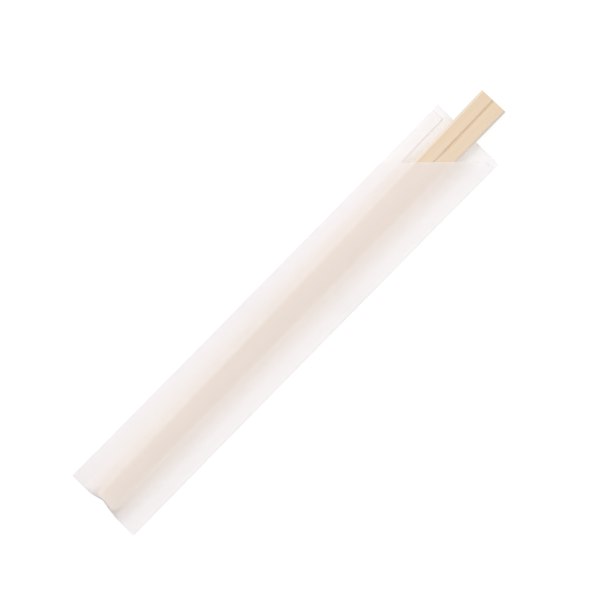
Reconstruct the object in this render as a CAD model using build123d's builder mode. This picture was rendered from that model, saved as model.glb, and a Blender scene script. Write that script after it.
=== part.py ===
from build123d import *
import math
import os

# Disposable wooden chopsticks in their open paper sleeve, lying flat as they come to rest.
# Millimetres. +Z is up, the sleeve's mouth and the chopsticks' heads point to +Y, and the
# origin is at the middle of the underside.

# Chopsticks: one blank of light wood, grooved down the middle and still joined at the head
chopstick_length = 204.0
head_width = 11.9
tip_width = 8.5
wood_thickness = 4.2
edge_chamfer = 0.85
groove_width = 1.4
joined_length = 42.0
slit_width = 0.1
head_skew = 1.3

# How the pair lies in the sleeve: its heads are off the middle, and stand out of the mouth
head_shift = -1.85
poke_out = 15.25

# Paper sleeve: one sheet, folded at both sides, glued over a flap and sealed at the bottom
sleeve_width = 31.4
paper = 0.1
layer_gap = 0.15
flap_width = 5.4
mouth_lip = 2.5
lip_run = 3.8
seal_width = 2.0
glue_depth = 0.02

# How the filled sleeve stands: the side folds float at half the height of the filling, each
# with a pressed border beside it that opens by border_share of the rise to the wood
mouth_rise = 0.4
waist = 0.5
border_width = 5.0
border_share = 0.16
end_drop = 0.6

# Crest that the tips push up in the seal, and the notch that it draws into the bottom edge,
# whose right flank bends at these shares of its run and of its depth
crest_x = -1.15
crest_height = 2.0
crest_left = 5.35
crest_right = 6.1
notch_right = 9.0
seal_at_crest = 0.4
bend_along = 0.65
bend_up = 0.1

# Room between the wood and the paper
stick_clearance = 0.15
contact_margin = 0.3

# Places along the sleeve, measured from the middle of the whole thing
sleeve_length = chopstick_length - poke_out + stick_clearance + end_drop + seal_width
total_length = sleeve_length + poke_out
y_bottom = -total_length / 2
y_mouth = y_bottom + sleeve_length
y_head = y_mouth + poke_out
y_tips = y_head - chopstick_length
y_seal = y_bottom + seal_width
y_pocket = y_seal + end_drop
y_lip = y_mouth - mouth_lip
y_cut_foot = y_lip - (sleeve_width - lip_run)
lean = math.degrees(math.atan2(-head_shift, chopstick_length))
roof = paper + wood_thickness + stick_clearance
cut_height = 3 * roof

# How full the closed tube stands along its length, from the foot of the mouth's cut (0) to the
# end of the pocket (1): share of the length, share of the full rise, share of the waist
fullness = [(0.0, 1.0, 1.0), (0.62, 0.95, 1.0), (0.92, 0.5, 0.3), (1.0, 0.2, 0.0)]

# The same with the flat ends: place, height of the side folds, draw-in of the width
fold_rise = roof / 2
tube_length = y_cut_foot - y_pocket
stations = [(y_mouth, mouth_rise, 0.0)]
stations += [(y_cut_foot - at * tube_length, up * fold_rise, drawn * waist) for at, up, drawn in fullness]
stations += [(y_seal, 0.0, 0.0), (y_bottom, 0.0, 0.0)]


def stand(y):
    """Height of the side folds and half the width of the filled sleeve at y."""
    for (upper_y, rise1, draw1), (lower_y, rise2, draw2) in zip(stations, stations[1:]):
        if y >= lower_y:
            break
    share = (upper_y - y) / (upper_y - lower_y)
    rise = rise1 + share * (rise2 - rise1)
    draw = draw1 + share * (draw2 - draw1)
    return rise, (sleeve_width - draw) / 2


def gap(y):
    """Room between layers that lie on each other: none where they are glued at the bottom."""
    return layer_gap if y > y_seal else -glue_depth


def breaks(y):
    """Places across the sleeve where a layer bends, from the left fold to the right one."""
    half_width = stand(y)[1]
    along = (y - y_tips) / chopstick_length
    centre = head_shift * along
    half_wood = (tip_width + along * (head_width - tip_width)) / 2
    flat = half_wood - edge_chamfer + contact_margin
    middle = [centre - flat, crest_x, centre + flat]
    if y <= y_seal:
        middle = [crest_x - crest_left, crest_x, crest_x + crest_right]
    return [
        -half_width,
        -half_width + border_width,
        *middle,
        half_width - border_width,
        half_width,
    ]


def back_heights(y):
    """Underside of the back layer: flat under the wood, rising to the side folds."""
    rise = stand(y)[0]
    border = rise * (1 - border_share)
    crest = crest_height if y <= y_seal else 0
    return [rise, border, 0, crest, 0, border, rise]


def front_heights(y):
    """Underside of the front layer: over the flap at the left, over the wood in the middle."""
    rise = stand(y)[0]
    right = rise + paper + gap(y)
    left = right + paper
    if y <= y_seal:
        return [left, left, right, right + crest_height, right, right, right]
    left_border = left + border_share * (roof - left)
    right_border = right + border_share * (roof - right)
    return [left, left_border, roof, roof, roof, right_border, right]


def row(y, across, heights):
    """Points of a layer's underside across the sleeve at y."""
    return [(x, y, z) for x, z in zip(across, heights)]


def places(start):
    """The stations from start down to the bottom edge."""
    return [start] + [y for y, rise, draw in stations if y < start]


def layer(heights):
    """Rows of a whole layer, from the mouth to the bottom edge."""
    return [row(y, breaks(y), heights(y)) for y in places(y_mouth)]


def raised(rows, height):
    """The same rows, higher up."""
    return [[(x, y, z + height) for x, y, z in points] for points in rows]


def sheet(under, over):
    """Solid between two sets of rows. Each panel is creased into two flat triangles, alike on both faces."""
    outlines = [[*under[end], *reversed(over[end])] for end in (0, -1)]
    for low1, low2, high1, high2 in zip(under, under[1:], over, over[1:]):
        for near, far in ((low1, low2), (high1, high2)):
            outlines += [[near[i], near[i + 1], far[i]] for i in range(len(near) - 1)]
            outlines += [[near[i + 1], far[i + 1], far[i]] for i in range(len(near) - 1)]
        outlines += [[low1[side], low2[side], high2[side], high1[side]] for side in (0, -1)]
    return Solid(Shell([Face(Wire.make_polygon(points)) for points in outlines]))


# The pair lies on the back layer, along an axis of its own that leans a little in the sleeve
wood_plane = Plane(origin=(0, y_tips, paper), z_dir=(0, 0, 1)).rotated((0, 0, lean))

with BuildPart() as chopsticks:
    # Tapered blank, its head sawn a little out of square
    head_slant = head_width * math.tan(math.radians(head_skew))
    with BuildSketch(wood_plane):
        with BuildLine():
            Polyline(
                (-tip_width / 2, 0),
                (tip_width / 2, 0),
                (head_width / 2, chopstick_length),
                (-head_width / 2, chopstick_length - head_slant),
                close=True,
            )
        make_face()
    extrude(amount=wood_thickness)
    long_edges = chopsticks.edges().filter_by(lambda edge: edge.length > chopstick_length / 2)
    chamfer(long_edges, length=edge_chamfer)

    # Breaking groove along both faces, and the slit that parts the sticks below the joined heads
    end_plane = Plane(wood_plane.origin, x_dir=wood_plane.x_dir, z_dir=wood_plane.y_dir)
    with BuildSketch(end_plane):
        with Locations((0, 0), (0, -wood_thickness)):
            Rectangle(groove_width / math.sqrt(2), groove_width / math.sqrt(2), rotation=45)
    extrude(amount=chopstick_length, mode=Mode.SUBTRACT)
    with BuildSketch(wood_plane):
        Rectangle(slit_width, chopstick_length - joined_length, align=(Align.CENTER, Align.MIN))
    extrude(amount=wood_thickness, mode=Mode.SUBTRACT)

with BuildPart() as paper_sleeve:
    # Front layer
    front = layer(front_heights)
    add(sheet(front, raised(front, paper)))

    # Mouth: a short straight lip at the right fold, then a cut at 45 degrees to the left fold
    lip_end = sleeve_width / 2 - lip_run
    reach = 2 * sleeve_width
    with BuildSketch(Plane.XY.offset(-roof)):
        with BuildLine():
            Polyline(
                (reach, y_lip),
                (lip_end, y_lip),
                (lip_end - reach, y_lip - reach),
                (lip_end - reach, y_lip + reach),
                (reach, y_lip + reach),
                close=True,
            )
        make_face()
    extrude(amount=cut_height, mode=Mode.SUBTRACT)

    # Back layer under the wood
    back = layer(back_heights)
    add(sheet(back, raised(back, paper)))

    # Flap folded in from the left, glued to the front layer
    flap = []
    for y in places(y_lip):
        fold_x, border_x = breaks(y)[:2]
        low, high = [z - paper for z in front_heights(y)[:2]]
        slope = (high - low) / (border_x - fold_x)
        flap.append(row(y, [fold_x, fold_x + flap_width], [low, low + slope * flap_width]))
    add(sheet(flap, raised(flap, paper + glue_depth)))

    # Side folds: back to flap at the left, back to front at the right
    for side, inward in ((0, paper), (-1, -paper)):
        under, over = [], []
        for y in places(y_lip):
            edge, rise = breaks(y)[side], stand(y)[0]
            across = sorted([edge, edge + inward])
            under.append(row(y, across, [rise, rise]))
            over.append(row(y, across, [rise + 2 * paper + gap(y)] * 2))
        add(sheet(under, over))

    # Bottom edge, drawn in where the tips push up a crest
    draw_in = seal_width - seal_at_crest
    with BuildSketch(Plane.XY.offset(-roof)):
        with BuildLine():
            left_foot = (crest_x - crest_left, y_bottom)
            right_foot = (crest_x + notch_right, y_bottom)
            top = (crest_x, y_bottom + draw_in)
            bend = (crest_x + bend_along * notch_right, y_bottom + bend_up * draw_in)
            Line(left_foot, top)
            Bezier(top, bend, right_foot)
            Polyline(right_foot, (crest_x, y_bottom - seal_width), left_foot)
        make_face()
    extrude(amount=cut_height, mode=Mode.SUBTRACT)

paper_sleeve.part.label = "paper_sleeve"
chopsticks.part.label = "chopsticks"

os.makedirs("parts", exist_ok=True)
export_step(chopsticks.part, "parts/chopsticks.step")
export_step(paper_sleeve.part, "parts/paper_sleeve.step")
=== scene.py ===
import math

import bmesh
import bpy
import numpy as np
from bpy.props import FloatProperty, FloatVectorProperty, PointerProperty
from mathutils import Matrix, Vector, noise


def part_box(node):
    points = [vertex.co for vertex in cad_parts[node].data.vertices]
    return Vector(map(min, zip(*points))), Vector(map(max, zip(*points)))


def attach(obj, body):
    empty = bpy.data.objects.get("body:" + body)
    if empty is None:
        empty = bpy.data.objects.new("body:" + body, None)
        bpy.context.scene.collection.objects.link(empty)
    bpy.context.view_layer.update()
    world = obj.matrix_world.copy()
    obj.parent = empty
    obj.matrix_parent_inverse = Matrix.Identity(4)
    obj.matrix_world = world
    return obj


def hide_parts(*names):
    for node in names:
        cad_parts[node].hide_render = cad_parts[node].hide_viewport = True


bl_info = {
    "name": "Disposable chopsticks in a paper sleeve",
    "version": (1, 0, 0),
    "blender": (4, 5, 0),
    "location": "3D View > Sidebar > Chopsticks",
    "description": "Builds a joined pair of wooden chopsticks, its folded paper sleeve and a white table",
    "category": "Add Mesh",
}

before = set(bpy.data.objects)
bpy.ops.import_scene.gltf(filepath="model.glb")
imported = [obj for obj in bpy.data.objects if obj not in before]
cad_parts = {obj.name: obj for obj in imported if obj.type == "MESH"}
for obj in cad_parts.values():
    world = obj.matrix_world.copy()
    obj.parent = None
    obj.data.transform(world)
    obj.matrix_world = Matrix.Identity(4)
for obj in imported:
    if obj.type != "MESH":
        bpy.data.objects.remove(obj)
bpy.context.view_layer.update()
SLEEVE_LOW, SLEEVE_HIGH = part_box("paper_sleeve")
WOOD_LOW, WOOD_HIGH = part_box("chopsticks")

MM = 0.001
SLEEVE_WIDTH = SLEEVE_HIGH.x - SLEEVE_LOW.x
SLEEVE_LENGTH = SLEEVE_HIGH.y - SLEEVE_LOW.y

# The sleeve's length runs from its bottom edge up to its mouth. In it stand the end of the glue and
# the end of the pocket, and the places where the filled sleeve changes its section, with the height
# of the side folds there and what the width draws in
BOTTOM = SLEEVE_LOW.y
MOUTH = SLEEVE_HIGH.y
GLUED = 0.4 * MM
POCKET = BOTTOM + 2.1 * MM
STATIONS = [BOTTOM, BOTTOM + 16 * MM, BOTTOM + 63.6 * MM, BOTTOM + 161.4 * MM, MOUTH]
RISES = [0.1 * MM, 1.11 * MM, 2.11 * MM, 2.22 * MM, 0.25 * MM]
DRAWS = [0, 0.15 * MM, 0.5 * MM, 0.5 * MM, 0]

# The section changes softly, over a share of the way from the bottom edge within these limits
EASE_SHARE = 0.4
EASE_LEAST = 0.1 * MM
EASE_MOST = 6 * MM
EASE_STEPS = np.linspace(-1, 1, 9)

# The wood's middle and half the width of its flat top, at the tips and at the heads
WOOD_ENDS = [WOOD_LOW.y, WOOD_HIGH.y]
WOOD_MIDDLES = [0, -1.85 * MM]
CONTACTS = [3.4 * MM, 5.1 * MM]

# Heights of the middle of the paper on the table and on the wood, the distance between two layers
# that lie on each other, and between back and front at a side fold
ON_TABLE = 0.05 * MM
ON_WOOD = 4.42 * MM
LAP = 0.1 * MM
FOLD_HEIGHT = 0.3 * MM

# From the borders the paper rises to the wood by this power of the way, and stays clear of the
# wood's flat by a margin. Each crease is rounded: reach in millimetres, number of steps
RISE_POWER = 1.3
BACK_MARGIN = 0.6 * MM
FRONT_MARGIN = 0.45 * MM
ARCH_MARGIN = 0.4 * MM
BACK_ROUNDING = (0.4, 5)
FRONT_ROUNDING = (0.6, 7)

# The borders: how high the back's starts as a share of its fold, how far the front's opens as a
# share of the rise to the wood, how far from the bottom edge that takes, and half the width over
# which the front steps up onto the flap
BACK_BORDER = 0.84
FRONT_BORDER = 0.16
BORDER_OPENS = 16 * MM
FLAP_STEP = 3 * MM

# The crest that the tips push up in the glued end, with its reach to the left and to the right
CREST = -1.15 * MM
CREST_LEFT = 5.35 * MM
CREST_RIGHT = 6.1 * MM
CREST_HEIGHT = 2 * MM
CREST_POWER = 1.2

# The notch that it draws into the bottom edge, and how far up the paper follows
NOTCH_RIGHT = 9 * MM
NOTCH_DEPTH = 1.7 * MM
NOTCH_POWER = 1.45
NOTCH_FADES = 3.2 * MM

# The layers part above the glue: short and round over the tips, and beside them, between these
# distances from the middle, over a longer way and with less of a round
BESIDE_FROM = 3 * MM
BESIDE_TO = 6 * MM
BESIDE_LONGER = 4 * MM
PARTING_POWER = 3.5
BESIDE_FLATTER = 1.7

# Waves of the front: width, length and seed, the height of the quick ones as a share of the slow
# ones, and how far from the folds and from the pocket's end they fade in
SLOW_WAVES = (9 * MM, 26 * MM, 1.7)
QUICK_WAVES = (2.5 * MM, 5 * MM, 5.3)
QUICK_SHARE = 0.25
WAVES_FROM_FOLD = 4 * MM
WAVES_FROM_POCKET = 12 * MM

# The mouth's cut edge hangs a little, from beside the flap to the right, and on the wood hardly.
# Above the cut the flap comes free, and lies down on the back
DROOP = 0.25 * MM
DROOP_REACH = 0.9 * MM
DROOP_STARTS = 3 * MM
HELD_BY_WOOD = 0.85
FLAP_FREES = 8 * MM
FREE_FLAP = 1.2 * LAP

# Columns and rows of the flat sheet: where a strip ends, in shares of flap, panel or length, and how
# many it takes. The folds take most columns for their size
FLAP_COLUMNS = [(0.96, 8), (1.0, 3)]
PANEL_COLUMNS = [(0.0125, 3), (0.17, 8), (0.36, 18), (0.64, 14), (0.83, 18), (0.9875, 8), (1.0, 3)]
ROWS = [(0.015, 36), (0.1, 40), (0.82, 110), (1.0, 60)]

# Painted highlight: a pale colour towards which the chamfers are lightened, for the light that falls on them
# and the white that they reflect, and which also lightens the groove in the sleeve. The warmer, brighter
# tint of the blank's sides is painted so that they reflect warmer light onto the paper
HIGHLIGHT_COLOUR = Vector((1.0, 0.96, 0.9))
BOUNCE_WARMTH = Vector((1.04, 0.96, 0.84))
CHAMFER_HIGHLIGHT = 0.38

# The breaking groove: its painted shade, darker for the shade in its recess, how far from the middle it
# reaches, and how much painted light pales it down in the sleeve, which takes out its shade under the paper,
# between these places
GROOVE_PAINTED_SHADE = 0.96
GROOVE_REACH = 2 * MM
GROOVE_PAINTED_LIGHT = 0.4
GROOVE_PALE_FROM = MOUTH - 20 * MM
GROOVE_PALE_TO = MOUTH - 10 * MM

# Grain is drawn out along the wood, and a little along the paper; end grain is darker in its pores
GRAIN_STRETCH = (1.0, 0.035, 1.0)
END_STRETCH = (1.0, 1.0, 0.5)
PULP_STRETCH = (1.0, 0.55, 1.0)
END_SHADE = 0.85

# The paper's tint and the light that it lets through change a little with its clouds of pulp, over
# this range of their height
PULP_RANGE = (0.45, 1.05)
PULP_SHADE = 0.99
PULP_CHANGE = 0.02

# Surfaces of the wood, in the order of its materials, and what the normals of three of them have at
# least along the wood, at least across it, and at most across it
PLANED, SAWN_END, CHAMFER, GROOVE, SIDE = range(5)
END_ALONG = 0.8
SIDE_ACROSS = 0.9
PLANED_ACROSS = 0.3

# Edges of the blank that bend more than the first are softened, and those that bend less than the
# second are dissolved
SHARP_ANGLE = math.radians(20)
FLAT_ANGLE = math.radians(0.5)

# Stage: half the table's side, the share of white that the table shows to the camera, and the glow that it
# shows through the paper, which lights the paper from below though the table is no lamp, the lamps' places
# and size, and the camera's aim, turn and lens
TABLE_REACH = 3.0
GLOW_TO_CAMERA = 0.8
GLOW_THROUGH_PAPER = 0.79
SOFTBOX_PLACE = (-0.8, 0.45, 0.9)
FILL_PLACE = (0.8, -0.3, 0.9)
LAMP_SIZE = 0.9
AIM = (-1.32 * MM, 1.44 * MM, 2 * MM)
CAMERA_TURN = math.radians(44.53)
FOCAL_LENGTH = 200.0
SENSOR_WIDTH = 36.0

# Light goes to and fro between white paper and table more often than the usual four times
LIGHT_BOUNCES = 10


class SleeveSizes(bpy.types.PropertyGroup):
    """Sizes and colour of the paper sleeve"""

    flap: FloatProperty(
        name="Flap", description="Width of the flap glued under the front",
        default=5.4 * MM, unit="LENGTH",
    )
    lip: FloatProperty(
        name="Lip", description="How far the front ends below the back at the mouth",
        default=2.5 * MM, unit="LENGTH",
    )
    lip_run: FloatProperty(
        name="Lip run", description="Straight edge from the right fold to the slanted cut",
        default=3.8 * MM, unit="LENGTH",
    )
    border: FloatProperty(
        name="Border", description="Pressed strip beside each side fold",
        default=5 * MM, unit="LENGTH",
    )
    thickness: FloatProperty(
        name="Paper", description="Thickness of the paper",
        default=0.07 * MM, unit="LENGTH", precision=5,
    )
    fold_radius: FloatProperty(
        name="Fold radius", description="Radius of the side folds",
        default=0.125 * MM, unit="LENGTH", precision=5,
    )
    arch: FloatProperty(
        name="Arch", description="How far the front arches above the wood",
        default=0.3 * MM, unit="LENGTH", precision=5,
    )
    waviness: FloatProperty(
        name="Waviness", description="Height of the front's slow waves",
        default=0.12 * MM, unit="LENGTH", precision=5,
    )
    colour: FloatVectorProperty(
        name="Paper colour", description="Colour of the paper",
        default=(0.99, 0.973, 0.973), subtype="COLOR", min=0, max=1,
    )
    through: FloatProperty(
        name="Light let through", description="Share of the light that the paper lets through",
        default=0.46, subtype="FACTOR", min=0, max=1,
    )


class WoodSizes(bpy.types.PropertyGroup):
    """Sizes and colours of the chopsticks"""

    softness: FloatProperty(
        name="Edge softness", description="Rounding of the sawn and planed edges",
        default=0.1 * MM, unit="LENGTH", precision=5,
    )
    light: FloatVectorProperty(
        name="Early wood", description="Lighter colour of the grain",
        default=(0.84, 0.68, 0.51), subtype="COLOR", min=0, max=1,
    )
    dark: FloatVectorProperty(
        name="Late wood", description="Darker colour of the grain",
        default=(0.78, 0.615, 0.445), subtype="COLOR", min=0, max=1,
    )
    end: FloatVectorProperty(
        name="End grain", description="Colour of the sawn ends",
        default=(0.74, 0.57, 0.40), subtype="COLOR", min=0, max=1,
    )


class StageSizes(bpy.types.PropertyGroup):
    """Table, light and camera"""

    daylight: FloatProperty(
        name="Daylight", description="Strength of the even light from all round",
        default=0.67, min=0,
    )
    softbox: FloatProperty(
        name="Softbox", description="Power of the large lamp at the left",
        default=6.8, min=0, unit="POWER",
    )
    fill: FloatProperty(
        name="Fill", description="Power of the lamp at the right",
        default=1.8, min=0, unit="POWER",
    )
    table: FloatVectorProperty(
        name="Table", description="Colour of the table",
        default=(0.3, 0.3, 0.3), subtype="COLOR", min=0, max=1,
    )
    view_width: FloatProperty(
        name="View width", description="Width of what the camera sees",
        default=220.2 * MM, unit="LENGTH",
    )


def spread(shares, strips):
    """Where shares of all columns or rows lie, when each strip takes its own number of them."""
    counts = np.cumsum([0] + [count for _, count in strips])
    return np.interp(shares * counts[-1], counts, [0] + [end for end, _ in strips])


def smooth(low, high, value):
    """0 below low, 1 above high, and eased between."""
    share = np.clip((value - low) / (high - low), 0, 1)
    return share * share * (3 - 2 * share)


def eased(y, values, reach):
    """Values at y between the stations, with the corners rounded over reach."""
    return np.mean([np.interp(y + step * reach, STATIONS, values) for step in EASE_STEPS], axis=0)


def rounded(shape, x, rounding):
    """Mean of a shape's values around x, which rounds its creases."""
    reach, count = rounding
    return np.mean([shape(x + step) for step in np.linspace(-reach, reach, count) * MM], axis=0)


def stand(y):
    """Height of the side folds above the table and half the sleeve's width at y."""
    reach = np.clip(EASE_SHARE * (y - BOTTOM), EASE_LEAST, EASE_MOST)
    return eased(y, RISES, reach), (SLEEVE_WIDTH - eased(y, DRAWS, reach)) / 2


def lifted(x, y, sizes, margin):
    """How far a layer is lifted from its borders to the wood: 0 in the borders, and 1 on the wood's
    flat and the margin beside it."""
    side = stand(y)[1] - sizes.border
    middle = np.interp(y, WOOD_ENDS, WOOD_MIDDLES)
    contact = np.interp(y, WOOD_ENDS, CONTACTS) + margin
    from_left = np.clip((x + side) / (middle - contact + side), 0, 1)
    from_right = np.clip((side - x) / (side - middle - contact), 0, 1)
    return np.minimum(from_left, from_right) ** RISE_POWER


def in_border(x, y, sizes):
    """0 where a border begins, and 1 at its side fold."""
    return np.clip(1 - (stand(y)[1] - np.abs(x)) / sizes.border, 0, 1)


def crown(x, y):
    """Arch of the front over the wood: 1 over its middle, and 0 from its edges outwards."""
    middle = np.interp(y, WOOD_ENDS, WOOD_MIDDLES)
    reach = np.interp(y, WOOD_ENDS, CONTACTS) + ARCH_MARGIN
    return np.clip(1 - ((x - middle) / reach) ** 2, 0, 1)


def ridge(x):
    """Height of the crest that the tips push up in the glued end."""
    reach = np.where(x < CREST, CREST_LEFT, CREST_RIGHT)
    return CREST_HEIGHT * np.clip(1 - np.abs(x - CREST) / reach, 0, 1) ** CREST_POWER


def pull(x):
    """How far the bottom edge is drawn in at the notch."""
    left = np.clip(1 - (CREST - x) / CREST_LEFT, 0, 1)
    right = np.clip(1 - (x - CREST) / NOTCH_RIGHT, 0, 1) ** NOTCH_POWER
    return NOTCH_DEPTH * np.where(x < CREST, left, right)


def opened(x, from_edge):
    """How far the layers have parted at a distance from the bottom edge."""
    beside = smooth(BESIDE_FROM, BESIDE_TO, np.abs(x))
    way = POCKET - BOTTOM - GLUED + BESIDE_LONGER * beside
    share = np.clip((from_edge - GLUED) / way, 0, 1)
    power = PARTING_POWER - BESIDE_FLATTER * beside
    return (1 - (1 - share) ** power) ** (1 / power)


def back_height(x, y, from_edge, sizes):
    """Height of the middle of the back layer at x and y."""
    rise = stand(y)[0]
    low = rise * BACK_BORDER
    share = rounded(lambda at: lifted(at, y, sizes, BACK_MARGIN), x, BACK_ROUNDING)
    filled = low * (1 - share) + (rise - low) * in_border(x, y, sizes)
    return ON_TABLE + ridge(x) + (filled - ridge(x)) * opened(x, from_edge)


def front_height(x, y, from_edge, sizes):
    """Height of the middle of the front layer at x and y."""
    over_flap = LAP * smooth(-FLAP_STEP, FLAP_STEP, -x)
    at_fold = stand(y)[0] + FOLD_HEIGHT + over_flap
    at_border = at_fold + FRONT_BORDER * (ON_WOOD - at_fold) * smooth(0, BORDER_OPENS, from_edge)
    share = rounded(lambda at: lifted(at, y, sizes, FRONT_MARGIN), x, FRONT_ROUNDING)
    filled = at_border + (ON_WOOD - at_border) * share
    filled = filled - (at_border - at_fold) * in_border(x, y, sizes)
    filled = filled + sizes.arch * rounded(lambda at: crown(at, y), x, FRONT_ROUNDING)
    glued = ON_TABLE + LAP + over_flap + ridge(x)
    return glued + (filled - glued) * opened(x, from_edge)


def ripples(x, y, waves):
    """Smooth noise of a set of waves at x and y."""
    width, length, seed = waves
    return np.array([noise.noise(Vector((a / width, b / length, seed))) for a, b in zip(x, y)])


def wave_height(x, y, sizes):
    """Waves of the front: none at its folds, on the wood and at the sealed end."""
    free = smooth(0, WAVES_FROM_FOLD, stand(y)[1] - np.abs(x)) * (1 - lifted(x, y, sizes, BACK_MARGIN))
    free *= smooth(0, WAVES_FROM_POCKET, y - POCKET)
    return sizes.waviness * free * (ripples(x, y, SLOW_WAVES) + QUICK_SHARE * ripples(x, y, QUICK_WAVES))


def cut_distance(from_fold, y, sizes):
    """Distance of a point of the flat front from the mouth's cut, at from_fold from the right fold."""
    below = MOUTH - sizes.lip - y
    return np.minimum(below, (below + sizes.lip_run - from_fold) / math.sqrt(2))


def droop(x, y, from_cut, sizes):
    """How far the front hangs down at its cut edge."""
    flap_edge = sizes.flap - SLEEVE_WIDTH / 2
    share = smooth(flap_edge, flap_edge + DROOP_STARTS, x) * (1 - smooth(0, DROOP_REACH, from_cut))
    share *= 1 - HELD_BY_WOOD * lifted(x, y, sizes, BACK_MARGIN)
    return DROOP * share


def flap_height(x, y, low, high, sizes):
    """Height of the flap: under the front, and above the mouth's cut on the back."""
    free = smooth(0, FLAP_FREES, y - MOUTH + sizes.lip + SLEEVE_WIDTH / 2 - sizes.lip_run - x)
    return high - LAP + free * np.minimum(low + FREE_FLAP - (high - LAP), 0)


def folded(across, y, sizes):
    """Places in the folded sleeve of points of the flat sheet."""
    radius = sizes.fold_radius
    quarter = radius * math.pi / 2
    half_width = stand(y)[1]
    inside = half_width - radius
    left_fold, right_fold = sizes.flap, sizes.flap + SLEEVE_WIDTH
    is_flap = across < left_fold
    is_back = (across >= left_fold) & (across <= right_fold)

    # Across the sleeve, each panel lies between the folds' quarter turns
    on_flap = -inside + np.clip(left_fold - quarter - across, 0, None)
    share = (across - left_fold - quarter) / (SLEEVE_WIDTH - 2 * quarter)
    on_back = (2 * np.clip(share, 0, 1) - 1) * inside
    share = np.clip((across - right_fold - quarter) / (SLEEVE_WIDTH - quarter), 0, 1)
    on_front = inside - share * (inside + half_width)
    x = np.where(is_flap, on_flap, np.where(is_back, on_back, on_front))

    # Heights of the layers, with the bottom edge drawn in
    from_edge = y - BOTTOM
    from_cut = cut_distance(across - right_fold, y, sizes)
    y = y + pull(x) * np.clip(1 - from_edge / NOTCH_FADES, 0, 1)
    low = np.maximum(back_height(x, y, from_edge, sizes), ON_TABLE)
    high = front_height(x, y, from_edge, sizes) + wave_height(x, y, sizes)
    high -= np.where(is_back | is_flap, 0, droop(x, y, from_cut, sizes))
    under = flap_height(x, y, low, high, sizes)
    z = np.where(is_flap, under, np.where(is_back, low, high))

    # Round the folds, from the back to the flap and to the front
    for fold_at, side, upper in ((left_fold, -1, under), (right_fold, 1, high)):
        turn = side * (across - fold_at) / radius
        turning = np.abs(turn) < math.pi / 2
        x = np.where(turning, side * (inside + radius * np.cos(turn)), x)
        z = np.where(turning, (low + upper) / 2 + (upper - low) / 2 * np.sin(turn), z)
    return np.column_stack((x, y, z))


def move(bm, places):
    """Moves the corners of a mesh to places."""
    for corner, place in zip(bm.verts, places):
        corner.co = place


def drop_faces(bm, test):
    """Removes the faces whose middle passes the test."""
    gone = [face for face in bm.faces if test(face.calc_center_median())]
    bmesh.ops.delete(bm, geom=gone, context="FACES")


def score(bm, test, point, direction):
    """Divides the faces that pass the test along a line."""
    faces = [face for face in bm.faces if test(face.calc_center_median())]
    edges = {edge for face in faces for edge in face.edges}
    corners = {corner for face in faces for corner in face.verts}
    bmesh.ops.bisect_plane(
        bm, geom=[*corners, *edges, *faces], dist=1e-7, plane_co=point, plane_no=direction
    )


def flat_sheet(sizes):
    """The sheet as it is cut, before it is folded: flap, back and front, with the slanted mouth."""
    left_fold, right_fold = sizes.flap, sizes.flap + SLEEVE_WIDTH
    flap = [(end * sizes.flap, count) for end, count in FLAP_COLUMNS]
    back = [(left_fold + end * SLEEVE_WIDTH, count) for end, count in PANEL_COLUMNS]
    front = [(right_fold + end * SLEEVE_WIDTH, count) for end, count in PANEL_COLUMNS]
    columns = [*flap, *back, *front]
    rows = [(end * SLEEVE_LENGTH, count) for end, count in ROWS]

    # A square of side 1, stretched so that every strip has its own columns or rows
    bm = bmesh.new()
    bmesh.ops.create_grid(
        bm,
        x_segments=sum(count for _, count in columns),
        y_segments=sum(count for _, count in rows),
        size=0.5,
    )
    spots = np.array([corner.co for corner in bm.verts]) + 0.5
    across, along = spread(spots[:, 0], columns), BOTTOM + spread(spots[:, 1], rows)
    move(bm, np.column_stack((across, along, 0 * across)))

    # Flap and front end at the lip, and the front from there at the slanted cut
    lip_y = MOUTH - sizes.lip
    lip_end = right_fold + sizes.lip_run
    slant = Vector((1, 1, 0)).normalized()
    score(bm, lambda at: at.x < left_fold or at.x > right_fold, (0, lip_y, 0), (0, 1, 0))
    drop_faces(bm, lambda at: (at.x < left_fold or at.x > right_fold) and at.y > lip_y)
    score(bm, lambda at: at.x > right_fold, (lip_end, lip_y, 0), slant)
    drop_faces(bm, lambda at: at.x > lip_end and (at - Vector((lip_end, lip_y, 0))).dot(slant) > 0)
    return bm


def finish_piece(bm, name, cad_node, materials):
    """Makes a piece of the object from a finished mesh."""
    mesh = bpy.data.meshes.new(name)
    bm.to_mesh(mesh)
    bm.free()
    for material in materials:
        mesh.materials.append(material)
    piece = bpy.data.objects.new(name, mesh)
    bpy.context.scene.collection.objects.link(piece)
    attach(piece, "root")
    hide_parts(cad_node)
    return piece


def add_node(tree, kind, values=None, links=None, **settings):
    """A shader node with its settings, socket values and incoming links."""
    made = tree.nodes.new(kind)
    for key, value in settings.items():
        setattr(made, key, value)
    for key, value in (values or {}).items():
        made.inputs[key].default_value = value
    for key, source in (links or {}).items():
        tree.links.new(source, made.inputs[key])
    return made


def new_material(name):
    """An empty node material, its tree and its output node."""
    material = bpy.data.materials.new(name)
    material.use_nodes = True
    material.node_tree.nodes.clear()
    return material, material.node_tree, material.node_tree.nodes.new("ShaderNodeOutputMaterial")


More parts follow.
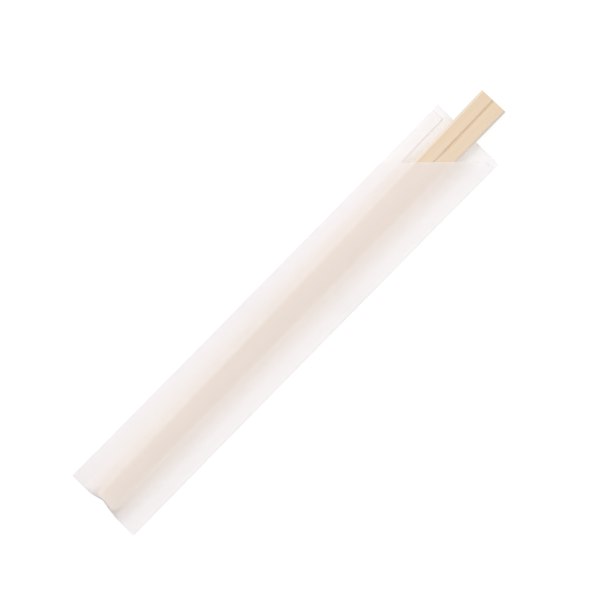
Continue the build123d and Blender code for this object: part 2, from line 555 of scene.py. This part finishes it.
def fibre_group():
    """Mottling of fibres: soft clouds, and short fibres."""
    if "Fibres" in bpy.data.node_groups:
        return bpy.data.node_groups["Fibres"]
    group = bpy.data.node_groups.new("Fibres", "ShaderNodeTree")
    group.interface.new_socket("Vector", in_out="INPUT", socket_type="NodeSocketVector")
    for label in ("Cloud size", "Fibre size"):
        group.interface.new_socket(label, in_out="INPUT", socket_type="NodeSocketFloat")
    for label in ("Clouds", "Fibres"):
        group.interface.new_socket(label, in_out="OUTPUT", socket_type="NodeSocketFloat")
    start, end = group.nodes.new("NodeGroupInput"), group.nodes.new("NodeGroupOutput")
    for label, size, detail, roughness in (
        ("Clouds", "Cloud size", 4.0, 0.55),
        ("Fibres", "Fibre size", 3.0, 0.7),
    ):
        texture = add_node(
            group, "ShaderNodeTexNoise", {"Detail": detail, "Roughness": roughness},
            {"Vector": start.outputs["Vector"], "Scale": start.outputs[size]},
        )
        group.links.new(texture.outputs["Fac"], end.inputs[label])
    return group


def add_fibres(tree, stretch, cloud_size, fibre_size):
    """The mottling in a material, on Object coordinates scaled by stretch."""
    place = tree.nodes.new("ShaderNodeTexCoord")
    drawn = add_node(tree, "ShaderNodeMapping", {"Scale": stretch}, {"Vector": place.outputs["Object"]})
    return add_node(
        tree, "ShaderNodeGroup", {"Cloud size": cloud_size, "Fibre size": fibre_size},
        {"Vector": drawn.outputs["Vector"]}, node_tree=fibre_group(),
    )


def clouds_and_fibres(tree, clouds, fibres, share):
    """Clouds with a share of the fibres added."""
    part = add_node(tree, "ShaderNodeMath", {1: share}, {0: fibres}, operation="MULTIPLY")
    both = add_node(tree, "ShaderNodeMath", {}, {0: clouds, 1: part.outputs[0]}, operation="ADD")
    return both.outputs[0]


def ranged(tree, source, low, high, at_low=0.0, at_high=1.0):
    """A value moved from the range low to high into the range at_low to at_high."""
    limits = {"From Min": low, "From Max": high, "To Min": at_low, "To Max": at_high}
    return add_node(tree, "ShaderNodeMapRange", limits, {"Value": source}).outputs["Result"]


def mixed(tree, share, first, second):
    """A colour between two, by a share. The first may come from another node."""
    made = add_node(tree, "ShaderNodeMix", data_type="RGBA")
    if isinstance(first, Vector):
        made.inputs[6].default_value = (*first, 1)
    else:
        tree.links.new(first, made.inputs[6])
    made.inputs[7].default_value = (*second, 1)
    tree.links.new(share, made.inputs[0])
    return made.outputs[2]


def paper_material(sizes):
    """Thin uncoated paper that lets light through, cloudy from its pulp."""
    material, tree, out = new_material("thin white paper")
    pulp = add_fibres(tree, PULP_STRETCH, cloud_size=420.0, fibre_size=2600.0)
    height = clouds_and_fibres(tree, pulp.outputs["Clouds"], pulp.outputs["Fibres"], share=0.5)
    colour = Vector(sizes.colour)
    tint = mixed(tree, ranged(tree, height, *PULP_RANGE), colour * PULP_SHADE, colour)
    bump = add_node(tree, "ShaderNodeBump", {"Strength": 0.25, "Distance": 0.02 * MM}, {"Height": height})
    front = add_node(
        tree, "ShaderNodeBsdfPrincipled", {"Roughness": 0.75, "Specular IOR Level": 0.25},
        {"Base Color": tint, "Normal": bump.outputs["Normal"]},
    )
    behind = add_node(
        tree, "ShaderNodeBsdfTranslucent", {}, {"Color": tint, "Normal": bump.outputs["Normal"]}
    )
    most, least = sizes.through + PULP_CHANGE, sizes.through - PULP_CHANGE
    passed = ranged(tree, height, *PULP_RANGE, at_low=most, at_high=least)
    sheet = add_node(
        tree, "ShaderNodeMixShader", {}, {0: passed, 1: front.outputs[0], 2: behind.outputs[0]}
    )
    # Light inside the paper leaves it unchanged, so that each layer scatters it only once
    side = tree.nodes.new("ShaderNodeNewGeometry")
    leaves = tree.nodes.new("ShaderNodeBsdfTransparent")
    both = add_node(
        tree, "ShaderNodeMixShader", {},
        {0: side.outputs["Backfacing"], 1: sheet.outputs[0], 2: leaves.outputs[0]},
    )
    tree.links.new(both.outputs[0], out.inputs["Surface"])
    return material


def wood_material(name, light, dark, stretch, painted_light=0.0):
    """Raw wood with its grain, which a share of painted light pales towards the tips, taking out its shade
    under the paper.
    """
    material, tree, out = new_material(name)
    grain = add_fibres(tree, stretch, cloud_size=260.0, fibre_size=1500.0)
    clouds = ranged(tree, grain.outputs["Clouds"], low=0.35, high=0.68)
    streaks = ranged(tree, grain.outputs["Fibres"], low=0.35, high=0.7)
    amount = ranged(tree, clouds_and_fibres(tree, clouds, streaks, share=0.6), low=0.1, high=1.5)
    tint = mixed(tree, amount, light, dark)
    if painted_light:
        place = tree.nodes.new("ShaderNodeTexCoord")
        along = add_node(tree, "ShaderNodeSeparateXYZ", {}, {"Vector": place.outputs["Object"]})
        # Painted light: the groove pales towards the tips, so that its shade hardly shows under the paper
        lightening = ranged(tree, along.outputs["Y"], GROOVE_PALE_FROM, GROOVE_PALE_TO, at_low=painted_light, at_high=0.0)
        tint = mixed(tree, lightening, tint, HIGHLIGHT_COLOUR)
    bump = add_node(tree, "ShaderNodeBump", {"Strength": 0.4, "Distance": 0.03 * MM}, {"Height": streaks})
    rough = ranged(tree, grain.outputs["Fibres"], low=0.3, high=0.7, at_low=0.55, at_high=0.75)
    shader = add_node(
        tree, "ShaderNodeBsdfPrincipled", {"Specular IOR Level": 0.3},
        {"Base Color": tint, "Roughness": rough, "Normal": bump.outputs["Normal"]},
    )
    tree.links.new(shader.outputs[0], out.inputs["Surface"])
    return material


def wood_surface(face):
    """Which of the wood's surfaces a face is in, by its normal and its distance from the middle."""
    if abs(face.normal.y) > END_ALONG:
        return SAWN_END
    if abs(face.normal.x) > SIDE_ACROSS:
        return SIDE
    if abs(face.normal.x) < PLANED_ACROSS:
        return PLANED
    centre = face.calc_center_median()
    from_middle = abs(centre.x - np.interp(centre.y, WOOD_ENDS, WOOD_MIDDLES))
    return CHAMFER if from_middle > GROOVE_REACH else GROOVE


class BuildChopsticks(bpy.types.Operator):
    """Builds the joined pair of chopsticks, with softened edges and grain"""

    bl_idname = "chopsticks.wood"
    bl_label = "Chopsticks"

    def execute(self, context):
        sizes = context.scene.wood_sizes
        bm = bmesh.new()
        bm.from_mesh(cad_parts["chopsticks"].data)
        bmesh.ops.remove_doubles(bm, verts=bm.verts, dist=1e-6)
        bmesh.ops.dissolve_limit(
            bm, angle_limit=FLAT_ANGLE, use_dissolve_boundaries=False, verts=bm.verts, edges=bm.edges
        )
        sharp = [edge for edge in bm.edges if edge.calc_face_angle(0) > SHARP_ANGLE]
        bmesh.ops.bevel(
            bm, geom=sharp, offset=sizes.softness, segments=2, profile=0.5, affect="EDGES",
            material=-1, clamp_overlap=True,
        )
        for face in bm.faces:
            face.material_index = wood_surface(face)
            face.smooth = False
        light, dark, end = Vector(sizes.light), Vector(sizes.dark), Vector(sizes.end)
        # Painted highlight: the chamfers are lightened towards a pale colour, for the light on them and the
        # white that they reflect
        highlit_light, highlit_dark = light.lerp(HIGHLIGHT_COLOUR, CHAMFER_HIGHLIGHT), dark.lerp(HIGHLIGHT_COLOUR, CHAMFER_HIGHLIGHT)
        # Painted shade: the groove is darker, for the shade in its recess
        shaded_light, shaded_dark = light * GROOVE_PAINTED_SHADE, dark * GROOVE_PAINTED_SHADE
        surfaces = [
            wood_material("planed wood", light, dark, GRAIN_STRETCH),
            wood_material("sawn end grain", end, end * END_SHADE, END_STRETCH),
            wood_material("planed chamfer", highlit_light, highlit_dark, GRAIN_STRETCH),
            wood_material("breaking groove", shaded_light, shaded_dark, GRAIN_STRETCH, GROOVE_PAINTED_LIGHT),
            # Painted reflection: the sides are a warmer, brighter copy of the planed wood, so that they
            # reflect warmer light onto the paper beside them
            wood_material("planed side", light * BOUNCE_WARMTH, dark * BOUNCE_WARMTH, GRAIN_STRETCH),
        ]
        finish_piece(bm, "chopstick_pair", "chopsticks", surfaces)
        return {"FINISHED"}


class BuildSleeve(bpy.types.Operator):
    """Cuts the flat sheet and folds it into the filled sleeve"""

    bl_idname = "chopsticks.sleeve"
    bl_label = "Paper sleeve"

    def execute(self, context):
        sizes = context.scene.sleeve_sizes
        bm = flat_sheet(sizes)
        area = sum(face.calc_area() for face in bm.faces)
        uv = bm.loops.layers.uv.new("flat_sheet")
        for face in bm.faces:
            face.smooth = True
            for loop in face.loops:
                loop[uv].uv = loop.vert.co.xy
        spots = np.array([corner.co for corner in bm.verts])
        move(bm, folded(spots[:, 0], spots[:, 1], sizes))
        bmesh.ops.recalc_face_normals(bm, faces=bm.faces)
        sleeve = finish_piece(bm, "folded_sleeve", "paper_sleeve", [paper_material(sizes)])
        wall = sleeve.modifiers.new("paper thickness", "SOLIDIFY")
        wall.thickness = sizes.thickness
        wall.offset = 0.0
        return {"FINISHED"}


def table_material(colour):
    """A plain table that shows as white to the camera and keeps its shadows, and glows for light through the
    paper, lighting the paper from below though it is no lamp.
    """
    material, tree, out = new_material("white table")
    top = add_node(tree, "ShaderNodeBsdfDiffuse", {"Color": (*colour, 1)})
    glow = add_node(tree, "ShaderNodeEmission", {"Color": (1, 1, 1, 1)})
    rays = tree.nodes.new("ShaderNodeLightPath")
    seen = add_node(
        tree, "ShaderNodeMath", {1: GLOW_TO_CAMERA},
        {0: rays.outputs["Is Camera Ray"]}, operation="MULTIPLY",
    )
    # Painted light: the table glows for rays through the paper, and so lights the paper from below
    through = add_node(
        tree, "ShaderNodeMath", {1: GLOW_THROUGH_PAPER},
        {0: rays.outputs["Is Transmission Ray"], 2: seen.outputs[0]}, operation="MULTIPLY_ADD",
    )
    tree.links.new(through.outputs[0], glow.inputs["Strength"])
    both = add_node(tree, "ShaderNodeAddShader", {}, {0: top.outputs[0], 1: glow.outputs[0]})
    tree.links.new(both.outputs[0], out.inputs["Surface"])
    return material


def add_table(scene, colour):
    """The table that the sleeve lies on."""
    bm = bmesh.new()
    bmesh.ops.create_grid(bm, x_segments=1, y_segments=1, size=TABLE_REACH)
    mesh = bpy.data.meshes.new("table")
    bm.to_mesh(mesh)
    bm.free()
    mesh.materials.append(table_material(colour))
    table = bpy.data.objects.new("table", mesh)
    scene.collection.objects.link(table)


def add_daylight(scene, strength):
    """Even white light from all round, which the camera sees as plain white."""
    world = bpy.data.worlds.new("daylight")
    scene.world = world
    world.use_nodes = True
    sky = world.node_tree
    background = sky.nodes["Background"]
    background.inputs["Color"].default_value = (1, 1, 1, 1)
    rays = sky.nodes.new("ShaderNodeLightPath")
    level = ranged(sky, rays.outputs["Is Camera Ray"], low=0, high=1, at_low=strength, at_high=1)
    sky.links.new(level, background.inputs["Strength"])


def add_lamp(scene, name, power, place):
    """A large square lamp that shines at the middle of the table."""
    light = bpy.data.lights.new(name, "AREA")
    light.energy = power
    light.shape = "SQUARE"
    light.size = LAMP_SIZE
    lamp = bpy.data.objects.new(name, light)
    lamp.location = place
    lamp.rotation_mode = "QUATERNION"
    lamp.rotation_quaternion = lamp.location.to_track_quat("Z", "Y")
    scene.collection.objects.link(lamp)


def add_camera(scene, view_width):
    """A camera straight above, turned so that the sleeve lies across the view."""
    lens = bpy.data.cameras.new("camera")
    lens.lens = FOCAL_LENGTH
    lens.sensor_width = SENSOR_WIDTH
    camera = bpy.data.objects.new("camera", lens)
    camera.location = (AIM[0], AIM[1], AIM[2] + view_width * lens.lens / lens.sensor_width)
    camera.rotation_euler = (0, 0, CAMERA_TURN)
    scene.collection.objects.link(camera)
    scene.camera = camera


class BuildStage(bpy.types.Operator):
    """Lays the white table and sets the light and the camera"""

    bl_idname = "chopsticks.stage"
    bl_label = "Table, light and camera"

    def execute(self, context):
        scene = context.scene
        sizes = scene.stage_sizes
        add_table(scene, sizes.table)
        add_daylight(scene, sizes.daylight)
        add_lamp(scene, "softbox", sizes.softbox, SOFTBOX_PLACE)
        add_lamp(scene, "fill", sizes.fill, FILL_PLACE)
        add_camera(scene, sizes.view_width)
        scene.view_settings.view_transform = "Standard"
        scene.cycles.diffuse_bounces = LIGHT_BOUNCES
        return {"FINISHED"}


class ChopsticksPanel(bpy.types.Panel):
    """Sizes, colours and build steps"""

    bl_idname = "VIEW3D_PT_chopsticks"
    bl_label = "Chopsticks"
    bl_space_type = "VIEW_3D"
    bl_region_type = "UI"
    bl_category = "Chopsticks"

    def draw(self, context):
        for settings, operator in (
            ("wood_sizes", BuildChopsticks),
            ("sleeve_sizes", BuildSleeve),
            ("stage_sizes", BuildStage),
        ):
            column = self.layout.column()
            group = getattr(context.scene, settings)
            for key in group.__annotations__:
                column.prop(group, key)
            column.operator(operator.bl_idname)


GROUPS = {"sleeve_sizes": SleeveSizes, "wood_sizes": WoodSizes, "stage_sizes": StageSizes}
CLASSES = [*GROUPS.values(), BuildChopsticks, BuildSleeve, BuildStage, ChopsticksPanel]


def register():
    for made in CLASSES:
        bpy.utils.register_class(made)
    for key, group in GROUPS.items():
        setattr(bpy.types.Scene, key, PointerProperty(type=group))


def unregister():
    for key in GROUPS:
        delattr(bpy.types.Scene, key)
    for made in reversed(CLASSES):
        bpy.utils.unregister_class(made)


def main():
    register()
    bpy.ops.chopsticks.wood()
    bpy.ops.chopsticks.sleeve()
    bpy.ops.chopsticks.stage()


if __name__ == "__main__":
    main()
